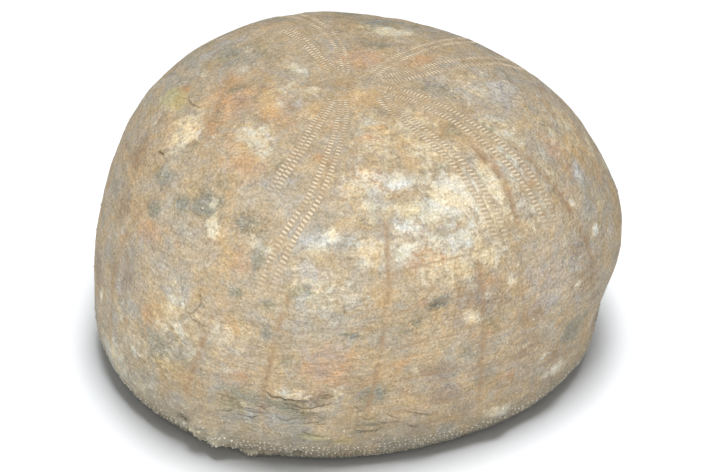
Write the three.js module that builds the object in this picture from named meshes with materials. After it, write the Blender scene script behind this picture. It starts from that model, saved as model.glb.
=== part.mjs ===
// A fossil sea urchin: the petrified shell of one large, high-domed burrowing urchin.
// It is a single solid, because the shell filled with sediment and turned to stone as one piece.
//
// Frame: millimetres, +Z up. The urchin lies on its flat underside at z = 0. +X runs to its rear
// end, where the vent is, and -X to its front end. The origin is under the middle of its box.
//
// The outer surface is swept round the crown: an angle gives the direction in plan, and a step
// runs from the crown (0) to the widest girth (1), round the lower margin (2), in across the flat
// underside to the rim of the mouth (3) and down into the mouth's bowl (4).
import * as THREE from "three";

// Overall size.
const HALF_LENGTH = 49.4; // from the crown towards front or rear
const HALF_WIDTH = 43.8;
const HEIGHT = 60.2;
const GIRTH_HEIGHT = 9.6; // height of the widest line of the wall

// How the plan departs from an ellipse, as shares of its radius.
const PLAN_SKEW = 0.018; // one diagonal longer than the other
const PLAN_LOBES = 0.034; // three broad lobes, one of them at the rear

// Dome section: 2 would be an ellipse, more is squarer at the shoulder.
const SHOULDER_REACH = 2.88;
const SHOULDER_REACH_CHANGE = 0.17;
const SHOULDER_REACH_ANGLE = -52;
const SHOULDER_RISE = 3.09;

// The crown stands off the middle of the plan.
const CROWN_SHIFT_X = 0.7;
const CROWN_SHIFT_Y = -2.2;
const CROWN_SHIFT_FADE = 1.3;

// Below the girth the wall turns in to the underside.
const MARGIN_TUCK = 0.131; // share of the radius

// Broad hollows and swellings of the wall: angle round the crown and half-width in degrees,
// height and half-height as shares of HEIGHT, and depth as a share of the radius.
const WALL_SHAPES = [
  { name: "front hollow", angle: 161, spread: 22, height: 0.487, reach: 0.2, swell: -0.034 },
  { name: "left margin tuck", angle: -103, spread: 30, height: 0.127, reach: 0.22, swell: -0.043 },
  { name: "rear swelling", angle: 0, spread: 32, height: 0.487, reach: 0.22, swell: 0.048 },
  { name: "front groove", angle: 180, spread: 9, height: 0.1, reach: 0.34, swell: -0.035 },
  { name: "vent", angle: -6, spread: 7, height: 0.2, reach: 0.085, swell: -0.028 },
];

// The mouth: a shallow bowl in the underside, nearer the front end.
const MOUTH_X = -24;
const MOUTH_HALF_LENGTH = 6;
const MOUTH_HALF_WIDTH = 9;
const MOUTH_DEPTH = 4;

// How finely the surface is divided.
const ROUND_STEPS = 96;
const DOME_STEPS = 27;
const MARGIN_STEPS = 6;
const UNDERSIDE_STEPS = 2;
const MOUTH_STEPS = 4;

const radians = THREE.MathUtils.degToRad;
const clamp01 = (value) => THREE.MathUtils.clamp(value, 0, 1);

/** The smallest turn from one angle to another, in radians, signed. */
function turnBetween(angle, from) {
  return Math.atan2(Math.sin(angle - from), Math.cos(angle - from));
}

/** Radius of the plan at an angle: an ellipse with a skew and three lobes. */
function planRadius(angle) {
  const ellipse =
    (HALF_LENGTH * HALF_WIDTH) /
    Math.hypot(HALF_WIDTH * Math.cos(angle), HALF_LENGTH * Math.sin(angle));
  return ellipse * (1 + PLAN_SKEW * Math.sin(2 * angle) + PLAN_LOBES * Math.cos(3 * angle));
}

/** Share of the plan radius, and height, at a step from the crown to the edge of the underside. */
function section(angle, step) {
  if (step <= 1) {
    const turn = (step * Math.PI) / 2;
    const reach =
      SHOULDER_REACH +
      SHOULDER_REACH_CHANGE * Math.cos(angle - radians(SHOULDER_REACH_ANGLE));
    return {
      share: Math.sin(turn) ** (2 / reach),
      z: GIRTH_HEIGHT + (HEIGHT - GIRTH_HEIGHT) * Math.cos(turn) ** (2 / SHOULDER_RISE),
    };
  }
  const turn = ((step - 1) * Math.PI) / 2;
  return {
    share: 1 - MARGIN_TUCK * (1 - Math.cos(turn)),
    z: GIRTH_HEIGHT * (1 - Math.sin(turn)),
  };
}

/** Factor on the radius for the wall's hollows and swellings. */
function wallFactor(angle, z) {
  return WALL_SHAPES.reduce((factor, shape) => {
    const round = turnBetween(angle, radians(shape.angle)) / radians(shape.spread);
    const up = (z / HEIGHT - shape.height) / shape.reach;
    return factor + shape.swell * Math.exp(-round * round - up * up);
  }, 1);
}

/** A point of the dome, the wall or the lower margin. */
function wallPoint(angle, step) {
  const { share, z } = section(angle, step);
  const radius = planRadius(angle) * share * wallFactor(angle, z);
  const rise = clamp01((z - GIRTH_HEIGHT) / (HEIGHT - GIRTH_HEIGHT)) ** CROWN_SHIFT_FADE;
  return new THREE.Vector3(
    radius * Math.cos(angle) + CROWN_SHIFT_X * rise,
    radius * Math.sin(angle) + CROWN_SHIFT_Y * rise,
    z,
  );
}

/** A point of the mouth's bowl, from its rim (0) to its deepest point (1). */
function mouthPoint(angle, inward) {
  const out = 1 - inward;
  return new THREE.Vector3(
    MOUTH_X + MOUTH_HALF_LENGTH * out * Math.cos(angle),
    MOUTH_HALF_WIDTH * out * Math.sin(angle),
    MOUTH_DEPTH * (1 - out * out) ** 1.5,
  );
}

/** A point of the outer surface. */
function surfacePoint(angle, step) {
  if (step <= 2) return wallPoint(angle, step);
  if (step <= 3) return wallPoint(angle, 2).lerp(mouthPoint(angle, 0), step - 2);
  return mouthPoint(angle, step - 3);
}

/** Equal steps up to and including 1. */
const equalSteps = (count) => Array.from({ length: count }, (_, i) => (i + 1) / count);

/** The steps of all rings between the crown and the deepest point of the mouth. */
function ringSteps() {
  const crownFirst = 1.25; // rings stand closer together near the crown
  return [
    ...equalSteps(DOME_STEPS).map((share) => share ** crownFirst),
    ...equalSteps(MARGIN_STEPS).map((share) => 1 + share),
    ...equalSteps(UNDERSIDE_STEPS).map((share) => 2 + share),
    ...equalSteps(MOUTH_STEPS).slice(0, -1).map((share) => 3 + share),
  ];
}

/** The closed surface: a crown point, rings of points below it, and a point inside the mouth. */
function shellGeometry() {
  const steps = ringSteps();
  const points = [surfacePoint(0, 0)];
  for (const step of steps)
    for (let i = 0; i < ROUND_STEPS; i++)
      points.push(surfacePoint((i / ROUND_STEPS) * 2 * Math.PI, step));
  points.push(surfacePoint(0, 4));

  const at = (ring, i) => 1 + ring * ROUND_STEPS + (i % ROUND_STEPS);
  const lastRing = steps.length - 1;
  const bottom = points.length - 1;
  const faces = [];
  for (let i = 0; i < ROUND_STEPS; i++) {
    faces.push(0, at(0, i), at(0, i + 1));
    for (let ring = 0; ring < lastRing; ring++) {
      faces.push(at(ring, i), at(ring + 1, i), at(ring + 1, i + 1));
      faces.push(at(ring, i), at(ring + 1, i + 1), at(ring, i + 1));
    }
    faces.push(at(lastRing, i), bottom, at(lastRing, i + 1));
  }
  const geometry = new THREE.BufferGeometry().setFromPoints(points);
  geometry.setIndex(faces);
  return geometry;
}

/** Moves the geometry so that its box stands centred over the origin, on z = 0. */
function standOnOrigin(geometry) {
  geometry.computeBoundingBox();
  const { min, max } = geometry.boundingBox;
  geometry.translate(-(min.x + max.x) / 2, -(min.y + max.y) / 2, -min.z);
  geometry.computeVertexNormals();
  return geometry;
}

const stone = new THREE.MeshStandardMaterial({ color: "#bda68a", roughness: 0.9, metalness: 0 });

const shell = new THREE.Mesh(standOnOrigin(shellGeometry()), stone);
shell.name = "fossil_urchin";

const urchin = new THREE.Group();
urchin.add(shell);

export default urchin;
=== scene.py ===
"""The looks of a fossil sea urchin: one stone shell with petals, plate seams, tubercles and stains.

Places on the shell are given as a bearing round the crown in degrees (0 at the rear end, -90 at the
side that faces the camera) and as the way down from the crown along the surface, in millimetres.
"""

import logging
import math
from dataclasses import dataclass, field, replace
from enum import Enum
from typing import ClassVar

import bpy
import numpy as np
from mathutils import Matrix, Vector, kdtree
from mathutils.geometry import delaunay_2d_cdt


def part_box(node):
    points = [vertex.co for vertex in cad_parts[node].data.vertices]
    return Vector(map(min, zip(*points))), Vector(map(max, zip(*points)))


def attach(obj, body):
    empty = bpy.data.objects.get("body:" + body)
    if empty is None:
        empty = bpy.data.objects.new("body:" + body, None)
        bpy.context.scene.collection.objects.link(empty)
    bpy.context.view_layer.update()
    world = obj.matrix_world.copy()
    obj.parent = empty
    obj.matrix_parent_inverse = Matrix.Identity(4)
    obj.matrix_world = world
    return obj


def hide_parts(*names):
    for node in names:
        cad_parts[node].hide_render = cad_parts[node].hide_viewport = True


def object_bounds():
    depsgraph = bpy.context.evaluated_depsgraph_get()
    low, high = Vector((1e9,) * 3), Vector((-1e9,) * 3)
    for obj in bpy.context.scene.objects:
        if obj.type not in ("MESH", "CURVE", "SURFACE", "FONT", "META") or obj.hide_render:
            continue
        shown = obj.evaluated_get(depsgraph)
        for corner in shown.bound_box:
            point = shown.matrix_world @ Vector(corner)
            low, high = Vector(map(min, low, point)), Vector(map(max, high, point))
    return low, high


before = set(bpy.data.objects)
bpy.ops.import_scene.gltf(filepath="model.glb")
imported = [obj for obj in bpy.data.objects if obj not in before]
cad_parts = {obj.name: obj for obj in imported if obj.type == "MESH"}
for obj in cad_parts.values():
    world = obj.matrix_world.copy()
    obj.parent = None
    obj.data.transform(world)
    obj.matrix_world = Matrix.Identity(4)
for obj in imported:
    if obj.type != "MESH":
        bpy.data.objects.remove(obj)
CAD_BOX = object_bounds()

NODE = "fossil_urchin"
BODY = "root"
MM = 0.001  # metres
AIM_SHIFT = (-3.09, 0.07, 0.0)  # from the box's middle to what the camera is aimed at, in millimetres

# A stain's amount: its strength times the peak in a patch's middle, down to the floor outside.
STAIN_PEAK = 1.35
STAIN_FALL = 0.9
STAIN_FLOOR = -0.35
STAIN_EDGE = 0.35  # the amount at which a stain's ragged edge lies

CLUSTER_CORNERS = 5  # points round a tubercle or a small hole
FEWEST_IN_RING = 5  # places in a staggered ring
ROW_SHARE = 0.87  # distance between staggered rings, in shares of the spacing
CROWN_ROOM = 0.3  # kept free of rings round the crown, in millimetres

Colour = tuple[float, float, float]
Path = tuple[tuple[float, float], ...]


def smooth(value: np.ndarray, low: float, high: float) -> np.ndarray:
    """Smooth rise from 0 at low to 1 at high."""
    share = np.clip((value - low) / (high - low), 0.0, 1.0)
    return share * share * (3.0 - 2.0 * share)


def unit(vectors: np.ndarray) -> np.ndarray:
    """The vectors at length one."""
    return vectors / np.maximum(np.linalg.norm(vectors, axis=-1, keepdims=True), 1e-12)


def turn_between(angle: np.ndarray, other: float) -> np.ndarray:
    """The smallest signed turn from one angle to others, in radians."""
    return np.arctan2(np.sin(angle - other), np.cos(angle - other))


# ---------------------------------------------------------------- form of the shell


@dataclass(frozen=True)
class WallShape:
    """One broad hollow or swelling of the wall, in degrees and in shares of the height and radius."""

    bearing: float
    spread: float
    height: float
    reach: float
    swell: float


@dataclass(frozen=True)
class ShellForm:
    """The plain outer form of the shell, in millimetres, as the solid has it."""

    half_length: float = 49.4
    half_width: float = 43.8
    height: float = 60.2
    girth_height: float = 9.6
    plan_skew: float = 0.018
    plan_lobes: float = 0.034
    shoulder_reach: float = 2.88
    reach_change: float = 0.17
    reach_bearing: float = -52.0
    shoulder_rise: float = 3.09
    crown_shift: tuple[float, float] = (0.7, -2.2)
    crown_shift_fade: float = 1.3
    margin_tuck: float = 0.131
    mouth_x: float = -24.0
    mouth_half_length: float = 6.0
    mouth_half_width: float = 9.0
    mouth_depth: float = 4.0
    wall_shapes: tuple[WallShape, ...] = (
        WallShape(bearing=161, spread=22, height=0.487, reach=0.2, swell=-0.034),
        WallShape(bearing=-103, spread=30, height=0.127, reach=0.22, swell=-0.043),
        WallShape(bearing=0, spread=32, height=0.487, reach=0.22, swell=0.048),
        WallShape(bearing=180, spread=9, height=0.1, reach=0.34, swell=-0.035),
        WallShape(bearing=-6, spread=7, height=0.2, reach=0.085, swell=-0.028),
    )

    def wall(self, angle: np.ndarray, step: np.ndarray) -> np.ndarray:
        """Points of the dome, wall and lower margin.

        Args:
            angle: bearings in radians.
            step: 0 at the crown, 1 at the widest girth, 2 at the edge of the underside.

        Returns:
            Points, with x, y and z on the last axis.
        """
        ellipse = self.half_length * self.half_width / np.hypot(
            self.half_width * np.cos(angle), self.half_length * np.sin(angle)
        )
        radius = ellipse * (
            1.0 + self.plan_skew * np.sin(2.0 * angle) + self.plan_lobes * np.cos(3.0 * angle)
        )
        dome = np.clip(step, 0.0, 1.0) * math.pi / 2.0
        reach = self.shoulder_reach + self.reach_change * np.cos(
            angle - math.radians(self.reach_bearing)
        )
        share = np.sin(dome) ** (2.0 / reach)
        rise = np.clip(np.cos(dome), 0.0, 1.0) ** (2.0 / self.shoulder_rise)
        z = self.girth_height + (self.height - self.girth_height) * rise
        under = np.clip(step - 1.0, 0.0, 1.0) * math.pi / 2.0
        below = step > 1.0
        share = np.where(below, 1.0 - self.margin_tuck * (1.0 - np.cos(under)), share)
        z = np.where(below, self.girth_height * (1.0 - np.sin(under)), z)
        factor = np.ones_like(z)
        for shape in self.wall_shapes:
            across = turn_between(angle, math.radians(shape.bearing)) / math.radians(shape.spread)
            up = (z / self.height - shape.height) / shape.reach
            factor = factor + shape.swell * np.exp(-across * across - up * up)
        over_girth = (z - self.girth_height) / (self.height - self.girth_height)
        lean = np.clip(over_girth, 0.0, 1.0) ** self.crown_shift_fade
        out = radius * share * factor
        return np.stack(
            [
                out * np.cos(angle) + self.crown_shift[0] * lean,
                out * np.sin(angle) + self.crown_shift[1] * lean,
                z,
            ],
            -1,
        )

    def mouth(self, angle: np.ndarray, inward: np.ndarray) -> np.ndarray:
        """Points of the mouth's bowl.

        Args:
            angle: bearings in radians.
            inward: 0 at the bowl's rim, 1 at its deepest point.

        Returns:
            Points, with x, y and z on the last axis.
        """
        out = 1.0 - inward
        return np.stack(
            [
                self.mouth_x + self.mouth_half_length * out * np.cos(angle),
                self.mouth_half_width * out * np.sin(angle),
                self.mouth_depth * np.clip(1.0 - out * out, 0.0, 1.0) ** 1.5,
            ],
            -1,
        )

    def point(self, angle: np.ndarray, step: np.ndarray) -> np.ndarray:
        """Points of the whole surface.

        Args:
            angle: bearings in radians.
            step: as for the wall, then 3 at the rim of the mouth and 4 at its deepest point.

        Returns:
            Points, with x, y and z on the last axis.
        """
        angle, step = np.broadcast_arrays(angle, step)
        wall = self.wall(angle, np.minimum(step, 2.0))
        bowl = self.mouth(angle, np.clip(step - 3.0, 0.0, 1.0))
        across = np.clip(step - 2.0, 0.0, 1.0)[..., None]
        return wall * (1.0 - across) + bowl * across


class ShellMap:
    """A flat, angle-keeping map of the shell, with the crown at its middle.

    An even spread of points on a stretch of the map is an even spread on the stone, so the surface
    is planned and triangulated on the map and then lifted.
    """

    dome_rings = 500
    other_rings = 240
    crowding = 1.5  # how much closer together the rings stand near the crown
    last_step = 3.93  # close to the mouth's deepest point
    ring_turn = 3.0  # between measured points of a ring, in degrees
    box_turn = 0.5
    box_rings = 241

    def __init__(self, form: ShellForm) -> None:
        """Measures rings of the form from the crown to the mouth.

        Args:
            form: the shell's plain outer form.
        """
        self.form = form
        dome = np.linspace(0.0, 1.0, self.dome_rings) ** self.crowding
        rest = np.linspace(1.0, self.last_step, self.other_rings)[1:]
        self.steps = np.concatenate([dome, rest])
        angles = np.radians(np.arange(0.0, 360.0, self.ring_turn))
        rings = form.point(angles[None, :], self.steps[:, None])
        radius = np.linalg.norm(rings - rings.mean(1, keepdims=True), axis=-1).mean(1)
        gaps = np.linalg.norm(np.diff(rings, axis=0), axis=-1).mean(1)
        self.down = np.concatenate([[0.0], np.cumsum(gaps)])
        growth = gaps[1:] / (0.5 * (radius[1:-1] + radius[2:]))
        first = radius[1]
        self.reach = np.concatenate([[0.0, first], first * np.exp(np.cumsum(growth))])
        self.radius = radius
        self.edge_down = float(np.interp(2.0, self.steps, self.down))
        self.mouth_down = float(np.interp(3.0, self.steps, self.down))
        angles = np.radians(np.arange(0.0, 360.0, self.box_turn))
        steps = np.linspace(0.0, 2.0, self.box_rings)
        outer = form.point(angles[None, :], steps[:, None]).reshape(-1, 3)
        self.low, self.high = outer.min(0), outer.max(0)

    def place(self, bearing: np.ndarray, down: np.ndarray) -> np.ndarray:
        """Map points for places on the shell.

        Args:
            bearing: bearings in degrees.
            down: ways down in millimetres.

        Returns:
            Map points, with their two coordinates on the last axis.
        """
        reach = np.interp(down, self.down, self.reach)
        angle = np.radians(bearing)
        return np.stack([reach * np.cos(angle), reach * np.sin(angle)], -1)

    def lift(self, spots: np.ndarray) -> np.ndarray:
        """Points of the surface.

        Args:
            spots: map points.

        Returns:
            Points in millimetres.
        """
        reach = np.hypot(spots[..., 0], spots[..., 1])
        step = np.interp(reach, self.reach, self.steps)
        return self.form.point(np.arctan2(spots[..., 1], spots[..., 0]), step)

    def per_mm(self, spots: np.ndarray) -> np.ndarray:
        """Length on the map of a millimetre on the stone.

        Args:
            spots: map points.

        Returns:
            The length at each.
        """
        reach = np.hypot(spots[..., 0], spots[..., 1])
        radius = np.interp(reach, self.reach, self.radius)
        return np.where(reach < self.reach[2], 1.0, reach / np.maximum(radius, 1e-6))

    def axes(self, spots: np.ndarray) -> tuple[np.ndarray, np.ndarray, np.ndarray]:
        """Surface directions at map points.

        Args:
            spots: map points.

        Returns:
            Unit vectors east (towards a larger bearing), south (away from the crown) and outward.
        """
        reach = np.maximum(np.hypot(spots[..., 0], spots[..., 1]), 1e-6)
        south_map = spots / reach[..., None]
        east_map = np.stack([-south_map[..., 1], south_map[..., 0]], -1)
        nudge = (0.05 * self.per_mm(spots))[..., None]
        south = unit(self.lift(spots + nudge * south_map) - self.lift(spots - nudge * south_map))
        east = unit(self.lift(spots + nudge * east_map) - self.lift(spots - nudge * east_map))
        outward = unit(np.cross(south, east))
        return east, south, outward

    def to_row(self, points: np.ndarray) -> np.ndarray:
        """Surface points in the row's frame, fitted so that the form's box fills the solid's.

        Args:
            points: points in millimetres in the form's own frame.

        Returns:
            Points in metres.
        """
        low, high = (np.array(corner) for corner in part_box(NODE))
        scale = (high - low) / (self.high - self.low)
        return low + (points - self.low) * scale


@dataclass(frozen=True)
class Route:
    """A smooth line on the shell, with its true length."""

    pieces_per_corner: ClassVar[int] = 24

    spots: np.ndarray
    along: np.ndarray
    sideways: np.ndarray

    @classmethod
    def through(cls, shell: ShellMap, path: Path, every: float) -> "Route":
        """A curve through a path's points.

        Args:
            shell: the map to draw on.
            path: bearing and way down of each point.
            every: distance between the route's samples, in millimetres.

        Returns:
            The route, sampled evenly along its true length.
        """
        marks = np.array(path, float)
        corners = shell.place(marks[:, 0], marks[:, 1])
        before = 2 * corners[:1] - corners[1:2]
        after = 2 * corners[-1:] - corners[-2:-1]
        corners = np.concatenate([before, corners, after])
        pieces = []
        t = np.linspace(0.0, 1.0, cls.pieces_per_corner, endpoint=False)[:, None]
        for a, b, c, d in zip(corners, corners[1:], corners[2:], corners[3:]):
            square = (2 * a - 5 * b + 4 * c - d) * t**2
            cube = (3 * b - a - 3 * c + d) * t**3
            pieces.append(0.5 * (2 * b + (c - a) * t + square + cube))
        curve = np.concatenate([*pieces, corners[-2:-1]])
        lifted = shell.lift(curve)
        length = np.concatenate([[0.0], np.cumsum(np.linalg.norm(np.diff(lifted, axis=0), axis=1))])
        count = max(2, int(round(length[-1] / every)) + 1)
        along = np.linspace(0.0, length[-1], count)
        spots = np.stack([np.interp(along, length, curve[:, k]) for k in (0, 1)], -1)
        heading = unit(np.gradient(spots, axis=0))
        return cls(spots, along, np.stack([-heading[:, 1], heading[:, 0]], -1))

    def lattice(self, shell: ShellMap, offsets: np.ndarray) -> np.ndarray:
        """Map points beside the route.

        Args:
            shell: the map.
            offsets: distances to the left of the route in millimetres, one row per sample.

        Returns:
            Map points, one row per sample and one column per offset.
        """
        reach = (offsets * shell.per_mm(self.spots)[:, None])[..., None]
        return self.spots[:, None, :] + reach * self.sideways[:, None, :]


# ---------------------------------------------------------------- petals, seams and scars


@dataclass(frozen=True)
class PoreBand:
    """One band of slit pores at the edge of a petal: two columns of slits, side by side."""

    path: Path
    near_gap: float  # between the two columns at the crown end, in millimetres
    far_gap: float
    near_pitch: float = 0.62
    far_pitch: float = 0.84
    fade: float = 0.24  # share of the band over which it dies out
    slant: float = 0.25  # how far a slit leans, in pitches over the half-width

    def opposite(self, path: Path) -> "PoreBand":
        """The matching band on the urchin's other side, which has a path of its own."""
        return replace(self, path=path, slant=-self.slant)


@dataclass(frozen=True)
class Seam:
    """A shallow line between two rows of plates."""

    path: Path
    rust: float = 0.6
    depth: float = 0.16
    width: float = 1.2


@dataclass(frozen=True)
class Crack:
    """A thin break in the surface, with painted shade in it that is darker where it is deeper. A lifted
    crack raises its left side.
    """

    path: Path
    depth: float = 0.4
    width: float = 0.3
    lift: float = 0.0


@dataclass(frozen=True)
class CrackField:
    """Short level cracks strewn over a stretch of the shell, between two bearings and two ways down."""

    bearings: tuple[float, float]
    downs: tuple[float, float]
    count: int
    reach: tuple[float, float]  # from a crack's middle to its ends, in degrees of bearing
    depth: float = 0.3

    def strew(self, rng: np.random.Generator) -> list[Crack]:
        """The field's cracks.

        Args:
            rng: the source of their places, lengths and slopes.

        Returns:
            The cracks, each bent a little at its middle.
        """
        made = []
        for _ in range(self.count):
            bearing, down = rng.uniform(*self.bearings), rng.uniform(*self.downs)
            reach, slope, sag = rng.uniform(*self.reach), rng.uniform(-0.5, 0.5), rng.uniform(-0.3, 0.5)
            path = ((bearing - reach, down - slope), (bearing, down + sag), (bearing + reach, down + slope))
            made.append(Crack(path, depth=self.depth, lift=0.25))
        return made


@dataclass(frozen=True)
class Pit:
    """A small round hole, with painted shade in its middle."""

    bearing: float
    down: float
    radius: float


@dataclass(frozen=True)
class BeadZone:
    """A stretch of the shell with small pale tubercles, between two ways down and two bearings."""

    top: float
    foot: float
    spacing: float
    radius: float
    tall: float  # height in shares of the radius
    sector: tuple[float, float] = (-180.0, 180.0)


@dataclass(frozen=True)
class Lump:
    """A raised crust or a worn hollow (negative height), rough on top."""

    bearing: float
    down: float
    wide: float
    tall: float
    height: float
    rough: float
    turn: float = 0.0


class Stain(Enum):
    """What discolours a patch of the stone. The value names the mesh attribute."""

    RUST = "rust"
    GOLD = "gold"
    UMBER = "umber"
    SLATE = "slate"
    LILAC = "lilac"
    OCHRE = "ochre"
    CREAM = "cream"
    CHALK = "chalk"
    GRIME = "grime"


@dataclass(frozen=True)
class Patch:
    """One stained patch: its place, half-sizes in millimetres, turn in degrees and strength."""

    stain: Stain
    bearing: float
    down: float
    wide: float
    tall: float
    turn: float = 0.0
    strength: float = 1.0


@dataclass(frozen=True)
class StainField:
    """Marks of one stain strewn over a stretch of the shell, between two bearings and two ways down."""

    stain: Stain
    bearings: tuple[float, float]
    downs: tuple[float, float]
    count: int
    size: tuple[float, float]
    strength: tuple[float, float]

    def strew(self, rng: np.random.Generator) -> list[Patch]:
        """The field's marks.

        Args:
            rng: the source of their places, sizes and turns.

        Returns:
            One patch for each mark.
        """
        made = []
        for _ in range(self.count):
            wide = rng.uniform(*self.size)
            tall = wide * rng.uniform(0.45, 1.0)
            bearing, down = rng.uniform(*self.bearings), rng.uniform(*self.downs)
            turn, strength = rng.uniform(-45.0, 45.0), rng.uniform(*self.strength)
            made.append(Patch(self.stain, bearing, down, wide, tall, turn, strength))
        return made


FRONT_LEFT_OUTER = PoreBand(
    ((-126, 6), (-118, 12), (-116, 20), (-117, 28), (-116, 34)), near_gap=0.9, far_gap=1.3, fade=0.35
)
FRONT_LEFT_INNER = PoreBand(
    ((-110, 5), (-100, 10), (-99, 18), (-102, 29), (-107, 39), (-110, 53)),
    near_gap=1.0,
    far_gap=2.4,
    fade=0.3,
)
REAR_LEFT_OUTER = PoreBand(
    ((-31, 5), (-42, 9), (-43, 15), (-42, 28), (-43, 48)), near_gap=1.2, far_gap=2.1
)
REAR_LEFT_INNER = PoreBand(
    ((-14, 5), (-15, 10), (-19, 15), (-23, 24), (-26, 37), (-28, 51)), near_gap=1.2, far_gap=2.7
)
PORE_BANDS: tuple[PoreBand, ...] = (
    FRONT_LEFT_OUTER,
    FRONT_LEFT_INNER,
    REAR_LEFT_OUTER,
    REAR_LEFT_INNER,
    REAR_LEFT_OUTER.opposite(((40, 5), (46, 9), (47, 16), (46, 28), (48, 46))),
    REAR_LEFT_INNER.opposite(((20, 5), (19, 10), (24, 16), (28, 28), (32, 48))),
    FRONT_LEFT_OUTER.opposite(((134, 5), (131, 11), (126, 19), (126, 28))),
    FRONT_LEFT_INNER.opposite(((114, 4), (105, 10), (107, 18), (113, 30), (118, 49))),
)

# Lines that run down the wall: bearing and way down at the top and at the foot, and their rust.
DOWN_SEAMS: tuple[Seam, ...] = (
    Seam(((-77, 33), (-78, 50), (-80, 66), (-82, 80)), rust=0.85),
    Seam(((-51, 45), (-52, 60), (-52, 82)), rust=0.8),
    Seam(((-103, 47), (-106, 66), (-108, 80)), rust=0.85),
    Seam(((-120, 55), (-123, 67), (-126, 79)), rust=0.9),
    Seam(((-137, 60), (-139, 84)), rust=0.25),
    Seam(((-149, 40), (-152, 56), (-152, 82)), rust=0.6),
    Seam(((-19, 26), (-20, 38), (-19, 61)), rust=1.0),
    Seam(((-19, 61), (-19, 72), (-20, 84)), rust=0.35),
    Seam(((-30, 23), (-33, 34), (-37, 44)), rust=1.0),
    Seam(((-37, 44), (-40, 55), (-40, 66)), rust=0.35),
    Seam(((-114, 50), (-116, 80)), rust=0.2),
    Seam(((-1, 30), (-1, 45), (0, 70)), rust=0.4),
    Seam(((17, 32), (18, 56), (18, 82)), rust=0.6),
    Seam(((35, 26), (39, 44), (43, 82)), rust=0.5),
    Seam(((54, 44), (55, 82)), rust=0.5),
    Seam(((79, 32), (81, 52), (84, 82)), rust=0.6),
    Seam(((107, 46), (110, 82)), rust=0.4),
    Seam(((124, 46), (127, 82)), rust=0.5),
    Seam(((139, 40), (141, 82)), rust=0.4),
    Seam(((155, 38), (157, 82)), rust=0.4),
)


@dataclass(frozen=True)
class PlateColumn:
    """A column of plates between two seams: where its cross seams lie."""

    left: float
    right: float
    first: float
    pitch: float
    count: int
    rust: float = 0.45
    bow: float = 0.6

    def seams(self) -> list[Seam]:
        """Makes the column's cross seams.

        Returns:
            One seam per plate, bowed a little towards the crown.
        """
        middle = 0.5 * (self.left + self.right)
        made = []
        for row in range(self.count):
            down = self.first + row * self.pitch
            path = ((self.left, down + 0.4), (middle, down - self.bow), (self.right, down))
            made.append(Seam(path, rust=self.rust, depth=0.07, width=0.5))
        return made


PLATE_COLUMNS: tuple[PlateColumn, ...] = (
    PlateColumn(-104.5, -79.5, 41, 7.6, 5, rust=0.5),
    PlateColumn(-78.5, -52, 45, 8.2, 5, rust=0.75),
    PlateColumn(-51, -40, 50, 8, 4, rust=0.25),
    PlateColumn(-39, -20, 53, 8, 4, rust=0.25),
    PlateColumn(-122, -106, 57, 7, 4, rust=0.2),
    PlateColumn(-138, -123, 58, 8, 3, rust=0.3),
    PlateColumn(-151, -139, 50, 8, 4, rust=0.3),
    PlateColumn(-19, -1, 36, 8, 5, rust=0.35),
    PlateColumn(0, 17, 40, 8, 5, rust=0.35),
    PlateColumn(56, 79, 41, 7.8, 5, rust=0.5),
    PlateColumn(81, 107, 37, 7.8, 6, rust=0.5),
    PlateColumn(125, 140, 42, 8, 5, rust=0.35),
    PlateColumn(141, 156, 38, 8, 5, rust=0.35),
)

CRACKS: tuple[Crack, ...] = (
    # rim of the ochre hump and the dirt below it
    Crack(((180, 31), (-176, 30), (-171, 28)), depth=0.45, lift=0.4),
    Crack(((-178, 36), (-174, 38)), depth=0.5, width=0.4),
    Crack(((-163, 38), (-159, 37)), depth=0.5, width=0.4),
    # the forked break below the front petal
    Crack(((-125, 52), (-124, 55), (-126, 58)), depth=0.35, width=0.35, lift=-0.3),
    Crack(((-130, 53), (-126, 58)), depth=0.25, lift=0.35),
    Crack(((-126, 58), (-121, 59)), depth=0.2, lift=0.3),
    Crack(((-104, 53), (-99, 55)), depth=0.3),
    # lifted flakes at the foot of the near wall
    Crack(((-107, 71), (-103, 72), (-97, 73)), depth=0.6, width=0.5, lift=0.3),
    Crack(((-102, 74), (-97, 75), (-91, 74)), depth=0.5, width=0.35, lift=0.25),
    Crack(((-96, 72), (-91, 72)), depth=0.35, lift=0.3),
    Crack(((-100, 76), (-94, 76)), depth=0.35, width=0.35, lift=0.4),
    Crack(((-85, 75), (-83, 77)), depth=0.35),
    Crack(((-72, 78), (-64, 80)), depth=0.35, width=0.35, lift=0.35),
    Crack(((-98, 82), (-92, 83)), depth=0.3, width=0.35, lift=0.25),
)

# The finely wrinkled foot of the near wall.
CRACK_FIELDS: tuple[CrackField, ...] = (
    CrackField((-117, -92), (71, 81), 16, (0.8, 2.4), depth=0.38),
    CrackField((-90, -62), (76, 84), 8, (1.0, 3.0), depth=0.25),
)

PITS: tuple[Pit, ...] = (
    Pit(-90, 48, 0.3),
    Pit(-89, 52, 0.3),
    Pit(-92, 53, 0.3),
    Pit(-66, 46, 0.25),
    Pit(-67, 51, 0.25),
    Pit(-99, 89, 1.0),
    Pit(-128, 40, 0.25),
    Pit(-127, 85, 1.1),
    Pit(-49, 33, 0.3),
    Pit(-48, 36, 0.3),
    Pit(-46, 38, 0.3),
    Pit(-45, 41, 0.3),
)

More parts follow.
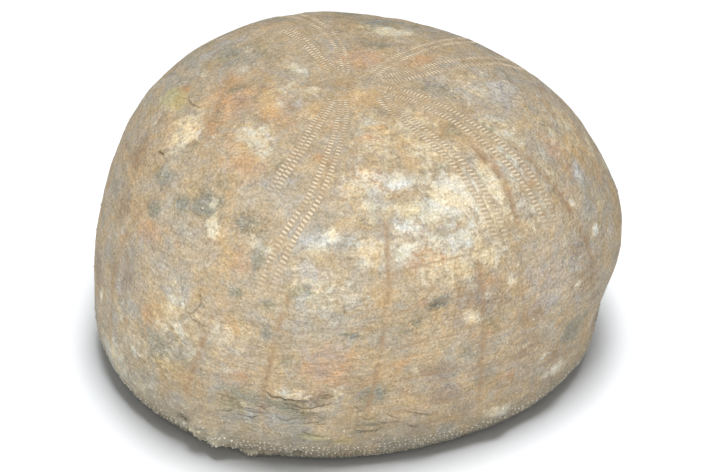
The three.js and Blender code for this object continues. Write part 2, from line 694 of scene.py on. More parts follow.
LUMPS: tuple[Lump, ...] = (
    Lump(-160, 32, 5.5, 4.5, -0.35, 0.6),
    Lump(178, 34, 4.5, 3.5, 0.35, 0.5),
    Lump(-138, 22, 4.0, 3.0, -0.25, 0.5),
    Lump(-128, 40, 1.0, 2.4, 0.35, 0.1),
    Lump(-100, 71, 6.0, 3.5, 0.45, 0.9),
    Lump(-96, 76, 5.0, 2.0, 0.35, 0.5),
    Lump(-68, 80, 5.5, 2.0, 0.35, 0.4),
    Lump(-91, 83, 5.0, 2.0, 0.25, 0.8),
    Lump(-121, 86, 6.0, 3.5, 0.8, 1.4),
    Lump(-116, 88, 4.0, 2.0, 0.5, 1.3),
    Lump(-110, 91, 4.5, 2.0, 0.5, 1.3),
    Lump(-29, 81, 4.0, 2.0, 0.5, 1.0),
    Lump(-46, 84, 3.0, 1.5, 0.5, 1.0),
    Lump(-144, 62, 6.0, 5.0, -0.3, 0.2),
    Lump(-52, 34, 7.0, 5.0, -0.12, 0.5),
    Lump(176, 9, 4.0, 2.5, -0.2, 0.6),
)

BEAD_ZONES: tuple[BeadZone, ...] = (
    BeadZone(90.0, 94.3, spacing=0.74, radius=0.3, tall=1.1),
    BeadZone(86.0, 89.8, spacing=1.05, radius=0.29, tall=0.9),
    BeadZone(81.0, 85.8, spacing=2.2, radius=0.22, tall=0.8),
    BeadZone(70.0, 80.0, spacing=4.6, radius=0.22, tall=0.7),
    BeadZone(52.0, 69.5, spacing=4.0, radius=0.22, tall=0.6, sector=(-60.0, 20.0)),
    BeadZone(20.0, 69.5, spacing=6.5, radius=0.24, tall=0.6, sector=(-180.0, -130.0)),
    BeadZone(6.0, 69.5, spacing=8.0, radius=0.2, tall=0.6),
    BeadZone(95.4, 112.0, spacing=2.3, radius=0.3, tall=0.9),
)

# The marks that stand out, area by area: stain, bearing, way down, half-sizes, turn and strength.
MARKS: tuple[Patch, ...] = (
    # front slope, left of the petals
    Patch(Stain.OCHRE, 178, 34, 4.5, 2.4, -35, 1.3),
    Patch(Stain.RUST, 175, 32, 2.2, 0.9, -40, 1.5),
    Patch(Stain.CREAM, -162, 32, 5.5, 3.4, 40, 0.9),
    Patch(Stain.CHALK, -160, 31, 3.0, 2.0, 40, 0.8),
    Patch(Stain.UMBER, -167, 42, 6.0, 3.0, 30, 0.9),
    Patch(Stain.CREAM, -141, 22, 3.8, 2.4, -10, 1.0),
    Patch(Stain.CHALK, -136, 20, 2.4, 1.4, 40, 0.85),
    Patch(Stain.CREAM, -130, 24, 1.2, 1.0, 0, 1.0),
    Patch(Stain.CREAM, 160, 12, 1.4, 3.0, 10, 0.9),
    Patch(Stain.CREAM, -160, 8, 1.3, 1.4, 10, 1.0),
    Patch(Stain.CREAM, -172, 13, 1.6, 1.3, 0, 0.8),
    Patch(Stain.CREAM, 168, 21, 1.6, 1.1, -30, 0.8),
    Patch(Stain.CREAM, 168, 29, 1.6, 1.2, 0, 0.9),
    Patch(Stain.CREAM, 150, 24, 0.8, 1.4, 20, 1.1),
    Patch(Stain.RUST, -170, 22, 6.0, 5.0, 0, 1.0),
    Patch(Stain.RUST, -132, 27, 4.6, 3.2, -20, 0.9),
    Patch(Stain.UMBER, -144, 13, 3.0, 1.8, 20, 0.7),
    Patch(Stain.GOLD, -132, 11, 3.4, 4.0, -40, 0.9),
    # round the crown
    Patch(Stain.GOLD, -70, 5, 5.0, 4.0, 0, 1.1),
    Patch(Stain.RUST, 80, 9, 5.0, 3.2, -20, 1.1),
    Patch(Stain.SLATE, 70, 15, 3.0, 1.6, -30, 0.9),
    Patch(Stain.CREAM, 71, 22, 4.4, 1.8, -20, 1.3),
    Patch(Stain.RUST, 34, 15, 2.0, 4.4, 15, 1.0),
    Patch(Stain.SLATE, 0, 15, 2.2, 4.8, 0, 1.1),
    Patch(Stain.LILAC, 5, 25, 5.0, 5.2, 0, 1.1),
    Patch(Stain.SLATE, -18, 24, 1.8, 3.0, -20, 1.1),
    Patch(Stain.GOLD, -18, 28, 2.4, 2.2, 0, 1.0),
    Patch(Stain.SLATE, -30, 20, 1.8, 2.0, 0, 0.9),
    # left wall and the foot of the front left petal
    Patch(Stain.SLATE, -133, 37, 3.8, 2.6, -25, 1.3),
    Patch(Stain.CREAM, -132, 36, 0.7, 0.6, 0, 1.5),
    Patch(Stain.CREAM, -128, 40, 1.1, 2.1, -25, 1.8),
    Patch(Stain.SLATE, -119, 37, 4.4, 2.8, -15, 0.7),
    Patch(Stain.GRIME, -119, 37, 4.2, 2.6, -15, 0.5),
    Patch(Stain.CREAM, -116, 40, 2.2, 1.2, 0, 1.0),
    Patch(Stain.SLATE, -147, 44, 2.0, 1.6, 0, 1.2),
    Patch(Stain.SLATE, -140, 40, 2.6, 2.2, 0, 1.1),
    Patch(Stain.SLATE, -152, 39, 3.2, 2.0, -20, 1.0),
    Patch(Stain.RUST, -144, 48, 4.4, 2.4, -30, 1.1),
    Patch(Stain.RUST, -117, 44, 2.0, 2.8, 0, 0.8),
    Patch(Stain.SLATE, -113, 43, 1.8, 2.6, 0, 1.0),
    Patch(Stain.SLATE, -116, 50, 1.5, 1.2, 0, 1.1),
    Patch(Stain.SLATE, -108, 51, 1.6, 1.3, 0, 1.0),
    Patch(Stain.UMBER, -148, 60, 3.4, 7.0, 20, 0.9),
    Patch(Stain.LILAC, -150, 60, 2.2, 5.0, 20, 0.8),
    Patch(Stain.RUST, -138, 64, 2.0, 3.0, 0, 0.9),
    Patch(Stain.CREAM, -124, 57, 1.6, 0.6, 30, 1.0),
    Patch(Stain.CHALK, -158, 72, 0.8, 2.6, 15, 1.1),
    Patch(Stain.SLATE, -133, 70, 6.0, 8.0, 30, 0.9),
    Patch(Stain.RUST, -112, 68, 2.6, 2.0, -20, 0.9),
    Patch(Stain.SLATE, -107, 76, 9.0, 4.5, 0, 1.4),
    Patch(Stain.SLATE, -112, 73, 4.0, 3.0, 0, 1.0),
    Patch(Stain.LILAC, -107, 78, 4.5, 3.5, 0, 1.2),
    Patch(Stain.GRIME, -109, 76, 7.0, 4.0, 0, 0.34),
    # front plates between the petals
    Patch(Stain.RUST, -80, 26, 4.4, 3.6, 0, 0.9),
    Patch(Stain.CHALK, -71, 27, 3.2, 2.0, 15, 1.3),
    Patch(Stain.CHALK, -83, 25, 1.4, 1.2, 0, 1.1),
    Patch(Stain.CHALK, -50, 33, 5.8, 3.4, 25, 1.6),
    Patch(Stain.CREAM, -62, 34, 6.5, 2.6, 10, 1.2),
    Patch(Stain.CHALK, -70, 37, 2.8, 1.4, 10, 1.1),
    Patch(Stain.CREAM, -44, 39, 3.6, 2.6, 0, 1.0),
    Patch(Stain.CHALK, -54, 41, 3.6, 1.6, 5, 1.1),
    Patch(Stain.CHALK, -94, 37, 1.9, 1.8, 0, 0.9),
    Patch(Stain.CREAM, -72, 41, 4.0, 2.0, 0, 1.0),
    Patch(Stain.RUST, -66, 43, 5.0, 2.4, 10, 1.2),
    Patch(Stain.LILAC, -100, 44, 3.4, 2.0, 0, 1.1),
    Patch(Stain.SLATE, -100, 48, 3.0, 2.0, 0, 1.0),
    Patch(Stain.RUST, -97, 47, 1.8, 0.6, 0, 1.1),
    Patch(Stain.SLATE, -64, 53, 2.6, 1.3, -5, 1.3),
    Patch(Stain.GRIME, -65, 53, 2.2, 0.9, -15, 1.0),
    Patch(Stain.SLATE, -70, 56, 1.4, 1.2, -30, 1.1),
    Patch(Stain.SLATE, -74, 57, 1.8, 2.0, 0, 0.9),
    Patch(Stain.SLATE, -87, 57, 2.6, 0.8, 5, 1.1),
    Patch(Stain.CHALK, -55, 58, 2.2, 1.5, 40, 0.9),
    Patch(Stain.SLATE, -50, 60, 3.4, 1.6, 30, 0.9),
    Patch(Stain.SLATE, -56, 66, 2.4, 1.6, 30, 0.9),
    Patch(Stain.RUST, -92, 64, 5.0, 5.5, 0, 1.2),
    Patch(Stain.UMBER, -64, 69, 5.0, 2.8, 25, 1.0),
    Patch(Stain.UMBER, -62, 75, 5.5, 3.0, 0, 1.1),
    Patch(Stain.UMBER, -93, 71, 5.0, 2.5, 0, 0.9),
    Patch(Stain.UMBER, -38, 62, 5.0, 4.0, 0, 0.9),
    Patch(Stain.GOLD, -57, 73, 3.6, 3.0, 0, 1.0),
    Patch(Stain.SLATE, -80, 72, 3.6, 3.0, -10, 1.1),
    # crusts and the foot of the near wall
    Patch(Stain.CHALK, -99, 71, 5.2, 1.5, 10, 0.65),
    Patch(Stain.GRIME, -97, 73, 3.6, 1.0, 5, 0.7),
    Patch(Stain.OCHRE, -95, 83, 3.0, 1.0, 0, 1.3),
    Patch(Stain.OCHRE, -88, 84, 2.2, 1.1, 5, 1.2),
    Patch(Stain.CREAM, -150, 82, 6.0, 5.0, 0, 1.0),
    Patch(Stain.CREAM, -124, 87, 5.0, 2.0, -15, 1.4),
    Patch(Stain.CREAM, -113, 90, 3.6, 1.4, 0, 0.9),
    Patch(Stain.CHALK, -46, 84, 3.0, 1.5, 10, 1.4),
    Patch(Stain.CHALK, -29, 81, 4.2, 1.6, 15, 1.2),
    Patch(Stain.RUST, -44, 75, 2.2, 1.2, 0, 1.0),
    Patch(Stain.SLATE, -26, 73, 2.4, 4.2, -30, 1.2),
    # rear wall
    Patch(Stain.RUST, -33, 31, 2.6, 3.4, 0, 0.9),
    Patch(Stain.RUST, -9, 36, 3.0, 4.0, 0, 1.0),
    Patch(Stain.LILAC, -9, 43, 2.2, 2.0, 0, 1.2),
    Patch(Stain.CHALK, -10, 43, 1.0, 1.2, 0, 1.1),
    Patch(Stain.LILAC, -32, 56, 6.0, 9.0, -20, 1.2),
    Patch(Stain.CREAM, -37, 33, 3.0, 5.0, 0, 1.1),
    Patch(Stain.CREAM, -29, 42, 4.0, 4.0, 0, 0.7),
    Patch(Stain.CREAM, -47, 46, 4.0, 2.5, 0, 1.0),
    Patch(Stain.CHALK, -37, 41, 0.9, 0.7, 0, 0.9),
    Patch(Stain.CHALK, -37, 45, 0.8, 0.7, 0, 0.8),
    Patch(Stain.CHALK, -43, 53, 0.9, 1.3, -20, 1.2),
    Patch(Stain.CHALK, -18, 46, 0.7, 1.0, 0, 1.1),
    Patch(Stain.CHALK, -15, 54, 1.0, 1.1, 0, 1.2),
    Patch(Stain.CHALK, -25, 62, 1.4, 0.6, -35, 1.0),
)

NEAR = (-180.0, 20.0)
FAR = (22.0, 158.0)

# Stretches with many marks of one kind: broad clouds first, then small flecks.
STAIN_FIELDS: tuple[StainField, ...] = (
    StainField(Stain.GOLD, (180, 240), (8, 26), 4, (4.5, 7.0), (0.6, 0.8)),
    StainField(Stain.RUST, (168, 222), (12, 30), 4, (4.0, 6.5), (0.6, 0.8)),
    StainField(Stain.SLATE, (112, 158), (20, 44), 9, (4.0, 8.0), (0.55, 0.8)),
    StainField(Stain.SLATE, (50, 112), (24, 40), 7, (4.0, 8.0), (0.6, 0.9)),
    StainField(Stain.LILAC, (-8, 44), (12, 40), 6, (4.0, 7.5), (0.6, 0.9)),
    StainField(Stain.UMBER, (-166, -140), (44, 74), 5, (3.0, 6.5), (0.6, 0.85)),
    StainField(Stain.GOLD, (-150, -110), (44, 62), 5, (4.0, 7.0), (0.4, 0.6)),
    StainField(Stain.CREAM, (-108, -46), (28, 48), 9, (4.0, 7.0), (0.6, 0.75)),
    StainField(Stain.GOLD, (-80, -44), (44, 76), 4, (4.0, 7.0), (0.5, 0.7)),
    StainField(Stain.GOLD, (-34, 4), (28, 52), 6, (4.0, 7.0), (0.7, 0.9)),
    StainField(Stain.CREAM, (-92, -30), (12, 44), 8, (4.0, 8.0), (0.55, 0.75)),
    StainField(Stain.SLATE, (-138, -96), (66, 84), 5, (3.5, 7.0), (0.5, 0.7)),
    StainField(Stain.CREAM, (-154, -108), (58, 84), 7, (4.0, 7.0), (0.5, 0.65)),
    StainField(Stain.CREAM, (-26, 8), (20, 48), 6, (4.0, 7.0), (0.5, 0.7)),
    StainField(Stain.UMBER, (-92, -24), (68, 86), 8, (3.5, 6.5), (0.55, 0.8)),
    StainField(Stain.SLATE, (-84, -22), (72, 88), 8, (2.5, 5.0), (0.6, 0.85)),
    StainField(Stain.UMBER, (-58, -8), (54, 84), 9, (5.0, 8.5), (0.65, 0.85)),
    StainField(Stain.SLATE, NEAR, (14, 80), 40, (0.8, 2.2), (0.6, 0.9)),
    StainField(Stain.RUST, NEAR, (10, 74), 44, (0.8, 2.6), (0.6, 0.95)),
    StainField(Stain.UMBER, NEAR, (16, 84), 22, (1.0, 3.0), (0.6, 0.9)),
    StainField(Stain.LILAC, NEAR, (10, 80), 20, (1.0, 2.4), (0.7, 1.0)),
    StainField(Stain.CREAM, NEAR, (10, 84), 34, (0.6, 1.8), (0.6, 0.9)),
    StainField(Stain.CHALK, NEAR, (10, 84), 26, (0.4, 1.1), (0.6, 0.9)),
    StainField(Stain.RUST, FAR, (34, 90), 22, (1.4, 8.0), (0.6, 0.9)),
    StainField(Stain.SLATE, FAR, (30, 90), 20, (1.4, 8.0), (0.6, 0.9)),
    StainField(Stain.UMBER, FAR, (34, 90), 12, (1.4, 6.0), (0.6, 0.8)),
    StainField(Stain.LILAC, FAR, (30, 90), 12, (1.4, 6.0), (0.6, 0.9)),
    StainField(Stain.CREAM, FAR, (30, 90), 18, (0.8, 3.0), (0.7, 1.0)),
    StainField(Stain.CHALK, FAR, (30, 90), 16, (0.6, 2.4), (0.7, 1.0)),
    StainField(Stain.RUST, (-180, 180), (96, 118), 10, (1.4, 8.0), (0.6, 0.9)),
    StainField(Stain.SLATE, (-180, 180), (96, 118), 10, (1.4, 8.0), (0.6, 0.9)),
    StainField(Stain.CREAM, (-180, 180), (96, 118), 8, (0.8, 3.0), (0.6, 0.9)),
)


# ---------------------------------------------------------------- planning the mesh


class Mark(Enum):
    """What each mesh point carries for the finish besides stains. The value names the attribute."""

    PORE_RUN = "pore_run"
    PORE_SIDE = "pore_side"
    PORE_SHOW = "pore_show"
    SEAM = "seam"
    # Painted shade in cracks and holes.
    CRACK_SHADE = "crack"
    BEAD = "bead"


def rough(points: np.ndarray, size: float, seed: int) -> np.ndarray:
    """Smooth, repeatable noise.

    Args:
        points: places in millimetres.
        size: size of the lumps in millimetres.
        seed: picks one of many patterns.

    Returns:
        A value between -1 and 1 for each place.
    """
    # The large odd numbers only scatter the value that each corner of a cell gets.
    cells = points / size + seed * 17.31
    base = np.floor(cells).astype(np.int64)
    part = cells - base
    part = part * part * (3.0 - 2.0 * part)
    keep = np.int64(0x7FFFFFFF)
    total = np.zeros(len(points))
    for corner in np.ndindex(2, 2, 2):
        at = base + np.array(corner)
        mixed = (at[:, 0] * 374761393 + at[:, 1] * 668265263 + at[:, 2] * 1440662683 + seed * 97) & keep
        mixed = ((mixed ^ (mixed >> 13)) * 1274126177) & keep
        mixed = mixed ^ (mixed >> 16)
        weight = np.prod(np.where(corner, part, 1.0 - part), axis=1)
        total += weight * (mixed / float(keep) * 2.0 - 1.0)
    return total


class Nearest:
    """Finds the nearest of a set of points."""

    def __init__(self, points: np.ndarray) -> None:
        """Sorts the points.

        Args:
            points: the points to search among.
        """
        self.tree = kdtree.KDTree(len(points))
        for index, point in enumerate(points):
            self.tree.insert(point, index)
        self.tree.balance()

    def to(self, points: np.ndarray) -> tuple[np.ndarray, np.ndarray]:
        """The nearest point to each of several places.

        Args:
            points: the places.

        Returns:
            The nearest point's index and its distance, for each place.
        """
        found = [self.tree.find(point)[1:] for point in points]
        table = np.array(found, float).reshape(-1, 2)
        return table[:, 0].astype(int), table[:, 1]


class Spread:
    """The points planned so far on the map, with how far each is raised and what each carries."""

    def __init__(self, shell: ShellMap) -> None:
        """Starts with no points.

        Args:
            shell: the map.
        """
        self.shell = shell
        self.spots = np.zeros((0, 2))
        self.rise = np.zeros(0)
        self.carried = {mark: np.zeros(0) for mark in Mark}

    def free(self, spots: np.ndarray, clearance: float) -> np.ndarray:
        """Which of some places stand clear of every planned point.

        Args:
            spots: map places.
            clearance: the distance to keep, in millimetres.

        Returns:
            True for each place that is clear.
        """
        if not len(self.spots) or not len(spots):
            return np.ones(len(spots), bool)
        _, gap = Nearest(self.shell.lift(self.spots)).to(self.shell.lift(spots))
        return gap > clearance

    def add(
        self,
        spots: np.ndarray,
        rise: np.ndarray | float = 0.0,
        carried: dict[Mark, np.ndarray] | None = None,
    ) -> None:
        """Adds points.

        Args:
            spots: their map places.
            rise: how far each is raised, in millimetres.
            carried: what each carries; the rest is zero.
        """
        count = len(spots)
        self.spots = np.concatenate([self.spots, spots])
        self.rise = np.concatenate([self.rise, np.broadcast_to(rise, count)])
        for mark in Mark:
            values = (carried or {}).get(mark, 0.0)
            self.carried[mark] = np.concatenate([self.carried[mark], np.broadcast_to(values, count)])

    def add_clusters(
        self, centres: np.ndarray, radii: np.ndarray, rises: tuple[float, float], mark: Mark, ring_at: float
    ) -> None:
        """Adds small round shapes, each of a top that carries a mark and a ring of points.

        Args:
            centres: map places.
            radii: radius of each shape, in millimetres.
            rises: how far the top and the ring are raised, in shares of the radius.
            mark: what the shape's top carries, at full value.
            ring_at: where the ring lies, in shares of the radius.
        """
        turns = np.radians(np.arange(CLUSTER_CORNERS) * 360.0 / CLUSTER_CORNERS)
        ring = np.stack([np.cos(turns), np.sin(turns)], -1)
        reach = (radii * ring_at * self.shell.per_mm(centres))[:, None, None]
        around = (centres[:, None, :] + reach * ring).reshape(-1, 2)
        spots = np.concatenate([centres, around])
        rise = np.concatenate([rises[0] * radii, np.repeat(rises[1] * radii, CLUSTER_CORNERS)])
        top = np.concatenate([np.ones(len(centres)), np.zeros(len(around))])
        self.add(spots, rise, {mark: top})


def staggered(
    shell: ShellMap, top: float, foot: float, spacing: float, stray: float, rng: np.random.Generator
) -> np.ndarray:
    """Places in staggered rings round the shell.

    Args:
        shell: the map.
        top: way down of the first ring, in millimetres.
        foot: way down where the rings stop.
        spacing: distance between places.
        stray: how far each may stray, in shares of the spacing.
        rng: the source of the strays.

    Returns:
        Map places.
    """
    rings = []
    for row, down in enumerate(np.arange(top, foot, spacing * ROW_SHARE)):
        radius = np.interp(down, shell.down, shell.radius)
        count = max(FEWEST_IN_RING, int(round(2.0 * math.pi * radius / spacing)))
        turn = 360.0 / count
        bearing = (np.arange(count) + 0.5 * (row % 2) + rng.uniform(-stray, stray, count)) * turn
        ways = down + rng.uniform(-stray, stray, count) * spacing
        rings.append(shell.place(bearing, np.clip(ways, CROWN_ROOM, foot)))
    return np.concatenate(rings)


# ---------------------------------------------------------------- wiring of finishes


class Wiring:
    """Short calls for joining the nodes of a material or a node group."""

    def __init__(self, tree: bpy.types.NodeTree) -> None:
        """Works on one tree."""
        self.tree = tree

    def node(self, kind: str, inputs: dict | None = None, **settings: object) -> bpy.types.Node:
        """A new node.

        Args:
            kind: the node's type.
            inputs: values or sockets for its inputs, by name or number.
            settings: its properties.

        Returns:
            The node.
        """
        made = self.tree.nodes.new(kind)
        for name, value in settings.items():
            setattr(made, name, value)
        for key, value in (inputs or {}).items():
            self.feed(made.inputs[key], value)
        return made

    def feed(self, socket: bpy.types.NodeSocket, value: object) -> None:
        """Links a socket to an input, or sets the input's own value.

        Args:
            socket: the input.
            value: a socket, a number, a vector or a colour.
        """
        if isinstance(value, bpy.types.NodeSocket):
            self.tree.links.new(value, socket)
        elif socket.type == "RGBA":
            socket.default_value = (*value, 1.0)
        else:
            socket.default_value = value

    def math(
        self, how: str, first: object, second: object = 0.0, third: object = 0.0
    ) -> bpy.types.NodeSocket:
        """One arithmetic step."""
        made = self.node("ShaderNodeMath", {0: first, 1: second, 2: third}, operation=how)
        return made.outputs[0]

    def span(
        self, value: object, low: object, high: object, least: float = 0.0, most: float = 1.0
    ) -> bpy.types.NodeSocket:
        """A smooth step of a value from least at low to most at high."""
        inputs = {0: value, 1: low, 2: high, 3: least, 4: most}
        return self.node("ShaderNodeMapRange", inputs, interpolation_type="SMOOTHSTEP").outputs[0]

    def tint(self, share: object, under: object, over: object) -> bpy.types.NodeSocket:
        """Lays one colour over another.

        Args:
            share: how far the upper colour covers.
            under: the lower colour.
            over: the upper colour.

        Returns:
            The socket with the blended colour.
        """
        made = self.node("ShaderNodeMix", data_type="RGBA")
        for name, value in (("Factor_Float", share), ("A_Color", under), ("B_Color", over)):
            socket = next(s for s in made.inputs if s.identifier == name)
            self.feed(socket, value)
        return next(s for s in made.outputs if s.identifier == "Result_Color")

    def carried(self, mark: Mark | Stain) -> bpy.types.NodeSocket:
        """What the mesh carries under a name."""
        return self.node("ShaderNodeAttribute", attribute_name=mark.value).outputs["Fac"]

    def noise(
        self, place: object, size: object, detail: float, rough: float = 0.5, swirl: float = 0.0
    ) -> bpy.types.NodeSocket:
        """Noise over the stone.

        Args:
            place: the socket with the place in millimetres.
            size: size of the lumps in millimetres, as a number or a socket.
            detail: how many finer layers are added.
            rough: how strong the finer layers are.
            swirl: how far it is drawn into swirls.

        Returns:
            The socket with the noise, from 0 to 1.
        """
        scale = self.math("DIVIDE", 1.0, size) if isinstance(size, bpy.types.NodeSocket) else 1.0 / size
        inputs = {"Vector": place, "Scale": scale, "Detail": detail, "Roughness": rough}
        return self.node("ShaderNodeTexNoise", {**inputs, "Distortion": swirl}).outputs[0]


def chip(red: int, green: int, blue: int) -> Colour:
    """A colour given as on a paint chip, from 0 to 255."""
    return tuple(((level / 255 + 0.055) / 1.055) ** 2.4 for level in (red, green, blue))


def ragged_group() -> bpy.types.NodeTree:
    """A group that turns a soft patch into a mottled one with a ragged edge.

    Returns:
        The group: Amount, Place, Size in millimetres, Ragged and Soft in; Mask out.
    """
    tree = bpy.data.node_groups.new("ragged_patch", "ShaderNodeTree")
    for name in ("Amount", "Place", "Size", "Ragged", "Soft"):
        kind = "NodeSocketVector" if name == "Place" else "NodeSocketFloat"
        tree.interface.new_socket(name, in_out="INPUT", socket_type=kind)
    tree.interface.new_socket("Mask", in_out="OUTPUT", socket_type="NodeSocketFloat")
    w = Wiring(tree)
    given = w.node("NodeGroupInput").outputs
    grain = w.noise(given["Place"], given["Size"], 7.0, 0.68, 0.5)
    shift = w.math("MULTIPLY", w.math("SUBTRACT", grain, 0.5), given["Ragged"])
    amount = w.math("ADD", given["Amount"], shift)
    low = w.math("SUBTRACT", STAIN_EDGE, given["Soft"])
    high = w.math("ADD", STAIN_EDGE, given["Soft"])
    mask = w.span(amount, low, high)
    near = w.span(given["Amount"], STAIN_FLOOR + 0.02, 0.05)  # keeps far grain out of clean stone
    thick = w.span(given["Amount"], 0.1, 1.0, 0.62, 1.0)
    w.node("NodeGroupOutput", {0: w.math("MULTIPLY", mask, w.math("MULTIPLY", near, thick))})
    return tree


@dataclass(frozen=True)
class StainFinish:
    """How one stain looks: its colour, how far it covers, and the grain and softness of its edge."""

    colour: Colour
    cover: float
    size: float = 2.2
    ragged: float = 2.4
    soft: float = 0.45


@dataclass(frozen=True)
class Tint:
    """Noise that pushes the stone's colour: its size in millimetres, and its push on each channel.

    A small edge makes islands with crisp borders, a large one soft clouds.
    """

    size: float
    detail: float
    roughness: float
    push: Colour
    swirl: float = 0.0
    stretch: Colour = (1.0, 1.0, 1.0)
    edge: float = 0.22


@dataclass(frozen=True)
class StoneFinish:
    """Weathered limestone: tan, mottled and speckled, with stains, seams, pores and pale beads, and painted
    shade at the foot of the wall, in cracks and holes and between the pore slits.
    """

    name: str = "urchin_stone"
    tan: Colour = chip(194, 176, 148)
    tints: tuple[Tint, ...] = (
        Tint(17.0, 3.0, 0.55, (0.08, -0.04, -0.22), 0.4),
        Tint(7.0, 6.0, 0.64, (0.15, -0.02, -0.31), 1.4),
        Tint(4.6, 8.0, 0.70, (0.05, 0.01, -0.09), 1.2, edge=0.07),
        Tint(3.0, 6.0, 0.66, (0.09, 0.08, 0.03), 1.8),
        Tint(2.6, 8.0, 0.72, (0.07, 0.08, 0.10), 1.2, edge=0.045),
        Tint(1.2, 5.0, 0.70, (0.22, 0.24, 0.27), 1.5),
        Tint(0.45, 3.0, 0.75, (0.50, 0.52, 0.56)),
        Tint(1.5, 4.0, 0.62, (0.22, 0.23, 0.25), 0.6, (0.22, 0.22, 1.7)),
    )
    pale_grain: Colour = chip(244, 236, 218)
    dark_grain: Colour = chip(116, 108, 94)
    trough_painted_shade: Colour = chip(184, 158, 126)
    # Painted shade in the troughs between the pore slits.
    slit_fill: Colour = chip(247, 233, 204)
    seam_rust: Colour = chip(178, 148, 115)
    seam_dark: Colour = chip(138, 124, 104)
    # Painted shade inside cracks and holes.
    crack_painted_shade: Colour = chip(96, 80, 62)
    vein_dark: Colour = chip(134, 110, 84)
    bead_pale: Colour = chip(246, 240, 222)
    # Painted shade on the lower wall, darker towards the floor.
    foot_painted_shade: Colour = chip(134, 129, 115)
    bead_cover: float = 0.78
    crack_shade_cover: float = 0.9
    slit_cover: float = 0.95
    trough_shade_cover: float = 0.62
    rust_cover: float = 0.88
    dirt_cover: float = 0.65
    # How strongly the painted shade darkens the foot of the wall.
    foot_shade_cover: float = 0.75
    vein_cover: float = 0.42
    relief: float = 0.75
    relief_depth: float = 0.2 * MM
    roughness: tuple[float, float] = (0.72, 0.92)
    specular: float = 0.28
    stains: tuple[tuple[Stain, StainFinish], ...] = (
        (Stain.RUST, StainFinish(chip(206, 167, 130), 0.70, 2.6, 3.2, 0.4)),
        (Stain.GOLD, StainFinish(chip(220, 191, 148), 0.70, 3.0, 3.0, 0.4)),
        (Stain.UMBER, StainFinish(chip(160, 137, 114), 0.66, 2.4, 2.8)),
        (Stain.SLATE, StainFinish(chip(152, 149, 129), 0.74, 1.4, 3.8, 0.5)),
        (Stain.LILAC, StainFinish(chip(202, 190, 173), 0.68, 2.0, 2.8)),
        (Stain.OCHRE, StainFinish(chip(208, 192, 132), 0.72, 1.5, 2.8)),
        (Stain.CREAM, StainFinish(chip(234, 222, 192), 0.88, 1.8, 4.4, 0.36)),
        (Stain.CHALK, StainFinish(chip(240, 230, 206), 0.92, 1.8, 4.8, 0.42)),
        (Stain.GRIME, StainFinish(chip(96, 92, 82), 0.74, 0.5, 8.0, 0.22)),
    )

    def material(self) -> bpy.types.Material:
        """Builds the finish.

        Returns:
            The material.
        """
        made = bpy.data.materials.new(self.name)
        made.use_nodes = True
        made.node_tree.nodes.clear()
        w = Wiring(made.node_tree)
        metres = w.node("ShaderNodeTexCoord").outputs["Object"]
        to_mm = (1.0 / MM, 1.0 / MM, 1.0 / MM)
        place = w.node("ShaderNodeVectorMath", {0: metres, 1: to_mm}, operation="MULTIPLY").outputs[0]
        colour = self.stain(w, place, self.tan)
        colour = self.mottle(w, place, colour)
        colour = self.seams(w, place, colour)
        colour, slit = self.pores(w, place, colour)
        bead = w.span(w.carried(Mark.BEAD), 0.22, 0.52, 0.0, self.bead_cover)
        colour = w.tint(bead, colour, self.bead_pale)
        # Painted shade in cracks and holes, darker where they are deeper.
        crack = w.span(w.carried(Mark.CRACK_SHADE), 0.25, 1.0, 0.0, self.crack_shade_cover)
        colour = w.tint(crack, colour, self.crack_painted_shade)
        grain = w.noise(place, 0.5, 1.0, 0.5)
        drawn = w.node("ShaderNodeMapping", {0: place, "Scale": (0.25, 0.25, 1.8)}).outputs[0]
        streaks = w.noise(drawn, 1.3, 2.0, 0.5, 0.6)
        crinkles = w.noise(place, 2.4, 6.0, 0.62, 2.0)
        height: object = 0.0
        for part, weight in ((grain, 0.8), (streaks, 1.2), (crinkles, 4.0), (slit, 0.6)):
            height = w.math("MULTIPLY_ADD", part, weight, height)
        bump_inputs = {"Height": height, "Strength": self.relief, "Distance": self.relief_depth}
        shader_inputs = {
            "Base Color": colour,
            "Roughness": w.span(grain, 0.3, 0.7, *self.roughness),
            "Specular IOR Level": self.specular,
            "Normal": w.node("ShaderNodeBump", bump_inputs).outputs[0],
        }
        shader = w.node("ShaderNodeBsdfPrincipled", shader_inputs)
        w.node("ShaderNodeOutputMaterial", {"Surface": shader.outputs[0]})
        return made

    def mottle(self, w: Wiring, place: object, colour: object) -> bpy.types.NodeSocket:
        """Tints from broad clouds to grain, then painted shade at the foot of the wall, veins and flecks.

        Args:
            w: the wiring of the material.
            place: the socket with the place in millimetres.
            colour: the colour so far.

        Returns:
            The socket with the new colour.
        """
        for number, tint in enumerate(self.tints):
            # Each tint is moved aside, so that no two share a pattern.
            moved = {0: place, "Location": (9.0 * number, 0.0, 0.0), "Scale": tint.stretch}
            shifted = w.node("ShaderNodeMapping", moved).outputs[0]
            cloud = w.noise(shifted, tint.size, tint.detail, tint.roughness, tint.swirl)
            cloud = w.span(cloud, 0.5 - tint.edge, 0.5 + tint.edge)
            inputs = {0: w.math("SUBTRACT", cloud, 0.5), 1: tint.push, 2: (1.0, 1.0, 1.0)}
            factor = w.node("ShaderNodeVectorMath", inputs, operation="MULTIPLY_ADD").outputs[0]
            colour = w.node("ShaderNodeVectorMath", {0: colour, 1: factor}, operation="MULTIPLY").outputs[0]
        # The height over the floor, pushed up and down by noise, so that the painted shade at the foot of
        # the wall, darker towards the floor, ends unevenly.
        height = w.node("ShaderNodeSeparateXYZ", {0: place}).outputs[2]
        uneven = w.math("MULTIPLY_ADD", w.noise(place, 3.4, 6.0, 0.72), -18.0, w.math("ADD", height, 9.0))
        colour = w.tint(w.span(uneven, 20.0, -3.0, 0.0, self.foot_shade_cover), colour, self.foot_painted_shade)
